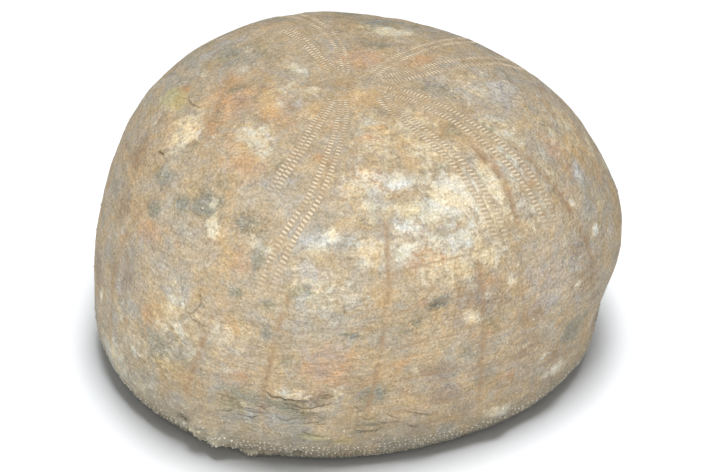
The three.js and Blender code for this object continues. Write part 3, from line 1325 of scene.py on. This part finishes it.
        # Veins run where a noise crosses its middle value.
        veins = w.math("ABSOLUTE", w.math("SUBTRACT", w.noise(place, 5.0, 7.0, 0.62, 1.0), 0.5))
        veined = w.span(w.noise(place, 11.0, 2.0), 0.42, 0.62, 0.0, self.vein_cover)
        colour = w.tint(w.math("MULTIPLY", w.span(veins, 0.014, 0.002), veined), colour, self.vein_dark)
        # Flecks crowd in busy stretches and on slate stains.
        busy = w.span(w.noise(place, 6.0, 3.0, 0.6), 0.38, 0.62, 0.15, 1.0)
        slate = w.span(w.carried(Stain.SLATE), 0.0, 0.8)
        busy = w.math("MAXIMUM", busy, slate)
        fleck = w.noise(place, 0.5, 2.0, 0.7)
        pale = w.math("MULTIPLY", w.span(fleck, 0.57, 0.72, 0.0, 0.42), busy)
        dark = w.math("MULTIPLY", w.span(fleck, 0.44, 0.30, 0.0, 0.45), slate)
        return w.tint(dark, w.tint(pale, colour, self.pale_grain), self.dark_grain)

    def stain(self, w: Wiring, place: object, colour: object) -> bpy.types.NodeSocket:
        """Lays the stains over the bare stone, each with a ragged edge.

        Args:
            w: the wiring of the material.
            place: the socket with the place in millimetres.
            colour: the colour so far.

        Returns:
            The socket with the new colour.
        """
        group = ragged_group()
        for stain, look in self.stains:
            inputs = {
                "Amount": w.carried(stain),
                "Place": place,
                "Size": look.size,
                "Ragged": look.ragged,
                "Soft": look.soft,
            }
            made = w.node("ShaderNodeGroup", node_tree=group)
            for name, value in inputs.items():
                w.feed(made.inputs[name], value)
            share = w.math("MULTIPLY", made.outputs[0], look.cover)
            colour = w.tint(share, colour, look.colour)
        return colour

    def seams(self, w: Wiring, place: object, colour: object) -> bpy.types.NodeSocket:
        """Lays rust and dirt along the seams.

        Args:
            w: the wiring of the material.
            place: the socket with the place in millimetres.
            colour: the colour so far.

        Returns:
            The socket with the new colour.
        """
        seam = w.carried(Mark.SEAM)
        broken = w.span(w.noise(place, 2.6, 6.0, 0.72), 0.36, 0.60, 0.18, 1.0)
        rust = w.math("MULTIPLY", w.span(seam, 0.0, 0.9), broken)
        colour = w.tint(w.math("MULTIPLY", rust, self.rust_cover), colour, self.seam_rust)
        dark = w.math("MULTIPLY", w.span(seam, 0.5, 1.0), w.span(w.noise(place, 1.1, 3.0, 0.6), 0.5, 0.7))
        return w.tint(w.math("MULTIPLY", dark, self.dirt_cover), colour, self.seam_dark)

    def pores(
        self, w: Wiring, place: object, colour: object
    ) -> tuple[bpy.types.NodeSocket, bpy.types.NodeSocket]:
        """Lays the cream fillings of the pore slits, and painted shade, a darker tan, in the troughs
        between them.

        Args:
            w: the wiring of the material.
            place: the socket with the place in millimetres.
            colour: the colour so far.

        Returns:
            The sockets with the new colour and with the share of slit.
        """
        show = w.carried(Mark.PORE_SHOW)
        side = w.math("ABSOLUTE", w.carried(Mark.PORE_SIDE))
        worn = w.span(w.noise(place, 2.2, 4.0, 0.7), 0.36, 0.56, 0.2, 1.0)
        phase = w.math("ABSOLUTE", w.math("SUBTRACT", w.math("FRACT", w.carried(Mark.PORE_RUN)), 0.5))
        inside = w.math("MULTIPLY", w.span(side, 1.12, 0.78), show)
        slit = w.math("MULTIPLY", w.math("MULTIPLY", w.span(phase, 0.29, 0.15), inside), worn)
        # Painted shade: a darker tan over each band's slit rows, which shows in the troughs between the
        # cream slits.
        between = w.math("MULTIPLY", w.span(side, 1.5, 0.9), w.math("MULTIPLY", show, self.trough_shade_cover))
        colour = w.tint(between, colour, self.trough_painted_shade)
        return w.tint(w.math("MULTIPLY", slit, self.slit_cover), colour, self.slit_fill), slit


# ---------------------------------------------------------------- the shell


@dataclass(frozen=True)
class RowPlan:
    """Rows of points along a line: the step between rows, their columns, and the room kept round each."""

    step: float
    columns: tuple[float, ...]
    clearance: float


@dataclass
class UrchinShell:
    """The whole fossil: one stone shell. Lengths are in millimetres."""

    form: ShellForm = field(default_factory=ShellForm)
    finish: StoneFinish = field(default_factory=StoneFinish)
    seed: int = 11
    wall_spacing: float = 0.88
    wall_stray: float = 0.22  # in shares of the spacing
    base_spacing: float = 1.5
    base_stray: float = 0.2
    bead_stray: float = 0.3
    room: float = 0.48  # kept round a background point, in shares of the spacing
    crack_rows: RowPlan = RowPlan(0.22, (-0.5, -0.16, 0.0, 0.16, 0.5), 0.1)
    seam_rows: RowPlan = RowPlan(0.65, (-0.95, -0.4, 0.0, 0.4, 0.95), 0.28)
    slit_half_near: float = 0.42
    slit_half_far: float = 0.62
    slit_rise: float = 0.07
    rows_per_slit: int = 4
    band_every: float = 0.1
    band_heart: float = 0.12  # least half-width left between a band's two rows of slits
    band_margin: float = 0.35
    band_room: float = 0.2  # kept between one band's points and the next band's
    band_sink: float = 0.06
    band_edge: float = 1.2  # where a band's relief ends, in half-slits
    pit_rises: tuple[float, float] = (-1.4, -0.5)  # middle and ring of a small hole, in its radii
    pit_ring: float = 0.8  # where the ring lies, in radii
    pit_room: float = 0.3
    bead_sizes: tuple[float, float] = (0.7, 1.4)  # in shares of the zone's size
    bead_foot: float = 0.15  # how high a tubercle's ring stands, in shares of its height
    bead_room: float = 0.2
    hole_points: int = 72
    wear: tuple[tuple[float, float], ...] = ((0.38, 19.0), (0.17, 7.5), (0.11, 3.1), (0.05, 1.5))
    chalk_rise: float = 0.05
    chalk_rough: float = 0.10
    lying_below: float = 0.4  # nothing stands out of the form below this height
    shade_full_depth: float = 0.55  # depth at which the painted shade in a crack is at its darkest
    lip_reach: float = 1.6

    def build(self) -> bpy.types.Object:
        """Makes the piece, dresses it and sets it in the solid's place.

        Returns:
            The piece.
        """
        self.map = ShellMap(self.form)
        self.rng = np.random.default_rng(self.seed)
        strewing = np.random.default_rng(self.seed + 1)
        wrinkling = np.random.default_rng(self.seed + 2)
        self.cracks = [*CRACKS, *(crack for stretch in CRACK_FIELDS for crack in stretch.strew(wrinkling))]
        self.patches = [*MARKS, *(patch for stretch in STAIN_FIELDS for patch in stretch.strew(strewing))]
        spread = Spread(self.map)
        self.add_pore_bands(spread)
        self.add_lines(spread)
        self.add_pits(spread)
        self.add_beads(spread)
        self.add_background(spread)
        points, carried = self.surface(spread)
        faces = self.faces(spread)
        piece = self.to_piece(points, faces, carried)
        piece.data.materials.append(self.finish.material())
        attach(piece, BODY)
        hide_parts(NODE)
        logging.info("shell: %d points, %d faces", len(points), len(faces))
        return piece

    def add_pore_bands(self, spread: Spread) -> None:
        """Lays a fine net along each band of slit pores, a few rows to a slit.

        Args:
            spread: takes the points.
        """
        row = 1.0 / self.rows_per_slit
        for band in PORE_BANDS:
            route = Route.through(self.map, band.path, self.band_every)
            share = route.along / route.along[-1]
            pitch = band.near_pitch + (band.far_pitch - band.near_pitch) * smooth(share, 0.0, 0.6)
            run = np.concatenate([[0.0], np.cumsum(self.band_every / pitch[1:])])
            rows = np.arange(row, run[-1], row)
            row_share = np.interp(rows, run, share)
            half_gap = 0.5 * (band.near_gap + (band.far_gap - band.near_gap) * np.sqrt(row_share))
            slit_half = self.slit_half_near + (self.slit_half_far - self.slit_half_near) * row_share
            inner = np.maximum(half_gap - slit_half, self.band_heart)
            outer = half_gap + slit_half
            beyond = outer + self.band_margin
            right = np.stack([inner, half_gap, outer, beyond], 1)
            columns = np.concatenate([-right[:, ::-1], 0 * right[:, :1], right], 1)
            side = (np.abs(columns) - half_gap[:, None]) / slit_half[:, None]
            lean = band.slant * (np.abs(columns) - half_gap[:, None]) * np.sign(columns)
            at = np.interp(rows[:, None] + lean, run, np.arange(len(run)))
            place = [np.interp(at, np.arange(len(run)), route.spots[:, k]) for k in (0, 1)]
            sideways = [np.interp(at, np.arange(len(run)), route.sideways[:, k]) for k in (0, 1)]
            middle = np.stack(place, -1)
            reach = (columns * self.map.per_mm(middle))[..., None]
            spots = (middle + reach * np.stack(sideways, -1)).reshape(-1, 2)
            fading = 1.0 - smooth(row_share, 1.0 - band.fade, 1.0)
            show = np.broadcast_to(fading[:, None], columns.shape).copy()
            show[:, [0, -1]] = 0.0
            show[[0, -1]] = 0.0
            run_at = np.broadcast_to(rows[:, None], columns.shape)
            beside = np.abs(side)
            ridge = -np.cos(2.0 * math.pi * run_at) * np.clip(self.band_edge - beside, 0.0, 1.0)
            rise = (self.slit_rise * ridge - self.band_sink * (beside > self.band_edge)) * show
            carried = {
                Mark.PORE_RUN: run_at.reshape(-1),
                Mark.PORE_SIDE: side.reshape(-1),
                Mark.PORE_SHOW: show.reshape(-1),
            }
            keep = spread.free(spots, self.band_room)
            spread.add(spots[keep], rise.reshape(-1)[keep], {m: v[keep] for m, v in carried.items()})
        logging.info("pore bands: %d points", len(spread.spots))

    def lines(self) -> list[Seam]:
        """All the seams between plates."""
        return [*DOWN_SEAMS, *(seam for column in PLATE_COLUMNS for seam in column.seams())]

    def add_lines(self, spread: Spread) -> None:
        """Lays rows of points along every crack, then along every seam.

        Args:
            spread: takes the points.
        """
        for lines, plan in ((self.cracks, self.crack_rows), (self.lines(), self.seam_rows)):
            for line in lines:
                route = Route.through(self.map, line.path, plan.step)
                offsets = np.array(plan.columns) * np.ones((len(route.along), 1))
                spots = route.lattice(self.map, offsets).reshape(-1, 2)
                spread.add(spots[spread.free(spots, plan.clearance)])
        logging.info("with seams and cracks: %d points", len(spread.spots))

    def add_pits(self, spread: Spread) -> None:
        """Sinks the small round holes.

        Args:
            spread: takes the points.
        """
        table = np.array([(pit.bearing, pit.down, pit.radius) for pit in PITS])
        centres = self.map.place(table[:, 0], table[:, 1])
        free = spread.free(centres, self.pit_room)
        # The middle of each hole carries painted shade.
        spread.add_clusters(centres[free], table[free, 2], self.pit_rises, Mark.CRACK_SHADE, self.pit_ring)

    def add_beads(self, spread: Spread) -> None:
        """Scatters the small pale tubercles, crowded at the foot of the wall and sparse above.

        Args:
            spread: takes the points.
        """
        for zone in BEAD_ZONES:
            foot = min(zone.foot, self.map.mouth_down - 1.0)
            centres = staggered(self.map, zone.top, foot, zone.spacing, self.bead_stray, self.rng)
            radii = zone.radius * self.rng.uniform(*self.bead_sizes, len(centres))
            bearing = np.degrees(np.arctan2(centres[:, 1], centres[:, 0]))
            wanted = (bearing >= zone.sector[0]) & (bearing <= zone.sector[1])
            wanted &= spread.free(centres, zone.radius + self.bead_room)
            rises = (zone.tall, self.bead_foot * zone.tall)
            spread.add_clusters(centres[wanted], radii[wanted], rises, Mark.BEAD, 1.0)
        logging.info("with beads: %d points", len(spread.spots))

    def add_background(self, spread: Spread) -> None:
        """Fills the rest evenly, and ends with the ring round the deepest point of the mouth.

        Args:
            spread: takes the points.
        """
        edge, last = self.map.edge_down, self.map.down[-1]
        wall = staggered(self.map, 0.5, edge, self.wall_spacing, self.wall_stray, self.rng)
        spread.add(wall[spread.free(wall, self.room * self.wall_spacing)])
        under = staggered(self.map, edge + 0.8, last - 0.5, self.base_spacing, self.base_stray, self.rng)
        spread.add(under[spread.free(under, self.room * self.base_spacing)])
        turns = np.arange(self.hole_points) * 360.0 / self.hole_points
        spread.add(self.map.place(turns, np.full(self.hole_points, last)))

    def surface(self, spread: Spread) -> tuple[np.ndarray, dict[str, np.ndarray]]:
        """Raises every planned point to its final place.

        Args:
            spread: the planned points.

        Returns:
            Points in millimetres, and what each point carries by attribute name.
        """
        base = self.map.lift(spread.spots)
        _, _, outward = self.map.axes(spread.spots)
        carried = {mark.value: values.copy() for mark, values in spread.carried.items()}
        rise = spread.rise + self.weathering(base)
        rise += self.seam_grooves(base, carried)
        rise += self.crack_breaks(base, carried)
        rise += self.lump_rises(base)
        for stain in Stain:
            carried[stain.value] = self.stain_amount(base, stain)
        chalk = smooth(carried[Stain.CHALK.value] + 0.5 * rough(base, 1.4, 31), 0.2, 0.6)
        rise += chalk * (self.chalk_rise + self.chalk_rough * rough(base, 1.0, 33))
        lying = base[:, 2] < self.lying_below
        rise = np.where(lying, np.minimum(rise, 0.0), rise)
        points = base + rise[:, None] * outward
        points[:, 2] = np.maximum(points[:, 2], 0.0)
        return points, carried

    def weathering(self, base: np.ndarray) -> np.ndarray:
        """Uneven wear of the whole surface, from broad dents to fine roughness.

        Args:
            base: points of the plain form.

        Returns:
            How far each is raised.
        """
        wear = np.zeros(len(base))
        for seed, (height, size) in enumerate(self.wear, 1):
            wear += height * rough(base, size, seed)
        return wear * (0.35 + 0.65 * smooth(base[:, 2], 0.0, 6.0))

    def seam_grooves(self, base: np.ndarray, carried: dict[str, np.ndarray]) -> np.ndarray:
        """Sinks the seams and notes their rust.

        Args:
            base: points of the plain form.
            carried: what each carries; gains the seams' rust.

        Returns:
            How far each is raised.
        """
        samples, depth, rust, width = [], [], [], []
        for seam in self.lines():
            route = Route.through(self.map, seam.path, 0.3)
            samples.append(self.map.lift(route.spots))
            share = route.along / route.along[-1]
            ends = smooth(share, 0.0, 0.08) * (1.0 - smooth(share, 0.92, 1.0))
            depth.append(seam.depth * ends)
            rust.append(seam.rust * ends)
            width.append(np.full(len(share), seam.width))
        nearest, gap = Nearest(np.concatenate(samples)).to(base)
        depth, rust, width = (np.concatenate(values)[nearest] for values in (depth, rust, width))
        nearness = np.exp(-((gap / (0.6 * width)) ** 2))
        carried[Mark.SEAM.value] = rust * nearness
        return -depth * nearness

    def crack_breaks(self, base: np.ndarray, carried: dict[str, np.ndarray]) -> np.ndarray:
        """Opens the cracks, paints shade in them that darkens with depth, and lifts one lip of those that
        stand proud.

        Args:
            base: points of the plain form.
            carried: what each carries; gains the painted shade in the cracks.

        Returns:
            How far each is raised.
        """
        samples, depth, width, lift, aside = [], [], [], [], []
        for crack in self.cracks:
            route = Route.through(self.map, crack.path, 0.12)
            middle = self.map.lift(route.spots)
            nudge = (0.05 * self.map.per_mm(route.spots))[:, None] * route.sideways
            samples.append(middle)
            aside.append(unit(self.map.lift(route.spots + nudge) - middle))
            share = route.along / route.along[-1]
            ends = smooth(share, 0.0, 0.2) * (1.0 - smooth(share, 0.8, 1.0))
            depth.append(crack.depth * (0.3 + 0.7 * ends))
            width.append(crack.width * (0.5 + 0.5 * ends))
            lift.append(crack.lift * ends)
        middles = np.concatenate(samples)
        nearest, gap = Nearest(middles).to(base)
        depth, width, lift = (np.concatenate(values)[nearest] for values in (depth, width, lift))
        signed = ((base - middles[nearest]) * np.concatenate(aside)[nearest]).sum(-1)
        opening = np.exp(-((gap / (0.55 * width)) ** 2))
        # Painted shade: darker where the crack is deeper.
        crack_shade = opening * np.clip(depth / self.shade_full_depth, 0.0, 1.0)
        carried[Mark.CRACK_SHADE.value] = np.maximum(carried[Mark.CRACK_SHADE.value], crack_shade)
        raised = np.abs(lift) * np.exp(-((gap / self.lip_reach) ** 2))
        lip = np.where(signed * np.sign(lift) > 0.08, raised, 0.0)
        return lip - depth * opening

    def lump_rises(self, base: np.ndarray) -> np.ndarray:
        """Raises crusts and sinks worn hollows.

        Args:
            base: points of the plain form.

        Returns:
            How far each is raised.
        """
        total = np.zeros(len(base))
        for index, lump in enumerate(LUMPS):
            away = self.patch_distance(base, lump)
            inside = 1.0 - smooth(away + 0.25 * rough(base, 2.4, 41 + index), 0.55, 1.05)
            total += inside * lump.height * (1.0 + lump.rough * rough(base, 1.1, 61 + index))
        return total

    def stain_amount(self, base: np.ndarray, stain: Stain) -> np.ndarray:
        """How strongly a stain holds: its strength in the middle, less than 0 outside.

        Args:
            base: points of the plain form.
            stain: the stain.

        Returns:
            The amount at each point.
        """
        amount = np.full(len(base), STAIN_FLOOR)
        for patch in self.patches:
            if patch.stain is stain:
                away = self.patch_distance(base, patch)
                held = patch.strength * STAIN_PEAK * np.exp(-STAIN_FALL * away * away) + STAIN_FLOOR
                amount = np.maximum(amount, held)
        return amount

    def patch_distance(self, base: np.ndarray, patch: Patch | Lump) -> np.ndarray:
        """Distance from the middle of an oval patch.

        Args:
            base: points of the plain form.
            patch: the patch.

        Returns:
            The distance of each point, where 1 is the patch's edge.
        """
        spot = self.map.place(np.array([patch.bearing]), np.array([patch.down]))
        east, south, outward = (axis[0] for axis in self.map.axes(spot))
        away = base - self.map.lift(spot)[0]
        wide, tall, angle = patch.wide, patch.tall, math.radians(patch.turn)
        across = away @ (math.cos(angle) * east + math.sin(angle) * south)
        along = away @ (math.cos(angle) * south - math.sin(angle) * east)
        behind = away @ outward
        return np.sqrt((across / wide) ** 2 + (along / tall) ** 2 + (behind / max(wide, tall)) ** 2)

    def faces(self, spread: Spread) -> np.ndarray:
        """Joins all planned points, and closes the mouth's deepest point with a fan.

        Args:
            spread: the planned points.

        Returns:
            Three point numbers for each triangle, facing outwards.
        """
        made = delaunay_2d_cdt([Vector(spot) for spot in spread.spots], [], [], 0, 1e-6, True)
        origin = [first[0] for first in made[3]]
        faces = np.array([[origin[corner] for corner in face] for face in made[2]])
        a, b, c = (spread.spots[faces[:, k]] for k in (0, 1, 2))
        crossed = (b[:, 0] - a[:, 0]) * (c[:, 1] - a[:, 1]) - (b[:, 1] - a[:, 1]) * (c[:, 0] - a[:, 0])
        faces[crossed < 0] = faces[crossed < 0][:, ::-1]
        ring = np.arange(len(spread.spots) - self.hole_points, len(spread.spots))
        middle = np.full(self.hole_points, len(spread.spots))
        fan = np.stack([ring, middle, np.roll(ring, -1)], -1)
        return np.concatenate([faces, fan[:, ::-1][:, [2, 0, 1]]])

    def to_piece(
        self, points: np.ndarray, faces: np.ndarray, carried: dict[str, np.ndarray]
    ) -> bpy.types.Object:
        """Makes the mesh object with its attributes.

        Args:
            points: points in millimetres, without the deepest one of the mouth.
            faces: three point numbers for each triangle.
            carried: the attributes by name.

        Returns:
            The piece.
        """
        deepest = self.form.mouth(np.zeros(1), np.ones(1))
        points = self.map.to_row(np.concatenate([points, deepest]))
        mesh = bpy.data.meshes.new("urchin_shell")
        mesh.from_pydata(points.tolist(), [], faces.tolist())
        mesh.shade_smooth()
        for name, values in carried.items():
            layer = mesh.attributes.new(name, "FLOAT", "POINT")
            layer.data.foreach_set("value", np.append(values, 0.0).astype(np.float32))
        piece = bpy.data.objects.new("urchin_shell", mesh)
        bpy.context.scene.collection.objects.link(piece)
        return piece


# ---------------------------------------------------------------- studio


class Lit(Enum):
    """What a lamp lights."""

    FOSSIL = "fossil"
    FLOOR = "floor"


@dataclass(frozen=True)
class AreaLight:
    """A soft rectangular lamp, aimed at the middle of the object."""

    name: str
    lit: Lit
    azimuth: float
    elevation: float
    distance: float
    size: float
    power: float


@dataclass
class Studio:
    """White floor, soft lamps and the camera."""

    aim: Vector
    elevation: float = 40.1
    roll: float = -2.7
    camera_distance: float = 0.6077
    lens: float = 162.7
    aim_right: float = 1.889 * MM
    aim_up: float = -6.72 * MM
    floor_size: float = 4.0
    ambient: float = 0.22
    lamps: tuple[AreaLight, ...] = (
        AreaLight("key", Lit.FOSSIL, -8.0, 59.0, 1.1, 0.5, 11.4),
        AreaLight("back_fill", Lit.FOSSIL, 178.0, 12.0, 1.2, 0.9, 3.6),
        AreaLight("floor_wash", Lit.FLOOR, 130.0, 88.0, 1.0, 0.42, 11.5),
    )

    def build(self, fossil: bpy.types.Object) -> None:
        """Sets up everything round the fossil.

        Args:
            fossil: the piece.
        """
        scene = bpy.context.scene
        scene.view_settings.view_transform = "Standard"
        scene.world = self.world()
        for lit, thing in ((Lit.FOSSIL, fossil), (Lit.FLOOR, self.floor())):
            lit_things = bpy.data.collections.new(f"lit_{lit.value}")
            lit_things.objects.link(thing)
            for lamp in self.lamps:
                if lamp.lit is lit:
                    self.lamp(lamp).light_linking.receiver_collection = lit_things
        scene.camera = self.camera()

    def world(self) -> bpy.types.World:
        """Makes an even white surround.

        Returns:
            The world.
        """
        made = bpy.data.worlds.new("surround")
        made.use_nodes = True
        background = made.node_tree.nodes["Background"]
        background.inputs["Color"].default_value = (1.0, 1.0, 1.0, 1.0)
        background.inputs["Strength"].default_value = self.ambient
        return made

    def floor(self) -> bpy.types.Object:
        """Lays a plain white floor under the object.

        Returns:
            The floor.
        """
        half = self.floor_size / 2.0
        mesh = bpy.data.meshes.new("floor")
        corners = [(-half, -half, 0.0), (half, -half, 0.0), (half, half, 0.0), (-half, half, 0.0)]
        mesh.from_pydata(corners, [], [(0, 1, 2, 3)])
        material = bpy.data.materials.new("floor_white")
        material.use_nodes = True
        shader = material.node_tree.nodes["Principled BSDF"]
        shader.inputs["Base Color"].default_value = (0.90, 0.925, 0.955, 1.0)
        shader.inputs["Roughness"].default_value = 0.9
        shader.inputs["Specular IOR Level"].default_value = 0.1
        mesh.materials.append(material)
        made = bpy.data.objects.new("floor", mesh)
        bpy.context.scene.collection.objects.link(made)
        return made

    def direction(self, azimuth: float, elevation: float) -> Vector:
        """From the object towards a place round it; azimuth 0 is the camera's side."""
        turn, rise = math.radians(azimuth), math.radians(elevation)
        return Vector((math.sin(turn) * math.cos(rise), -math.cos(turn) * math.cos(rise), math.sin(rise)))

    def lamp(self, light: AreaLight) -> bpy.types.Object:
        """Hangs one lamp.

        Args:
            light: what to hang and where.

        Returns:
            The lamp.
        """
        data = bpy.data.lights.new(light.name, "AREA")
        data.energy = light.power
        data.size = light.size
        made = bpy.data.objects.new(light.name, data)
        towards = self.direction(light.azimuth, light.elevation)
        made.location = self.aim + towards * light.distance
        made.rotation_euler = towards.to_track_quat("Z", "Y").to_euler()
        bpy.context.scene.collection.objects.link(made)
        return made

    def camera(self) -> bpy.types.Object:
        """A long lens that looks down on the object's long side, a little tilted.

        Returns:
            The camera.
        """
        back = self.direction(0.0, self.elevation)
        tilt = math.radians(self.roll)
        level_right = Vector((1.0, 0.0, 0.0))
        level_up = back.cross(level_right)
        right = math.cos(tilt) * level_right - math.sin(tilt) * level_up
        up = math.sin(tilt) * level_right + math.cos(tilt) * level_up
        place = self.aim + back * self.camera_distance
        back = (place - (self.aim + right * self.aim_right + up * self.aim_up)).normalized()
        right = (right - back * right.dot(back)).normalized()
        up = back.cross(right)
        data = bpy.data.cameras.new("camera")
        data.lens = self.lens
        data.sensor_width = 36.0
        made = bpy.data.objects.new("camera", data)
        made.matrix_world = Matrix.Translation(place) @ Matrix((right, up, back)).transposed().to_4x4()
        bpy.context.scene.collection.objects.link(made)
        return made


def main() -> None:
    """Builds the fossil and the studio, and notes the sizes."""
    logging.basicConfig(level=logging.INFO, format="%(message)s")
    low, high = (Vector(corner) for corner in CAD_BOX)
    middle = (low + high) / 2.0
    piece = UrchinShell().build()
    Studio(aim=middle + Vector(AIM_SHIFT) * MM).build(piece)
    logging.info("%s: size %s mm", piece.name, tuple(round(v / MM, 2) for v in piece.dimensions))


if __name__ == "__main__":
    main()
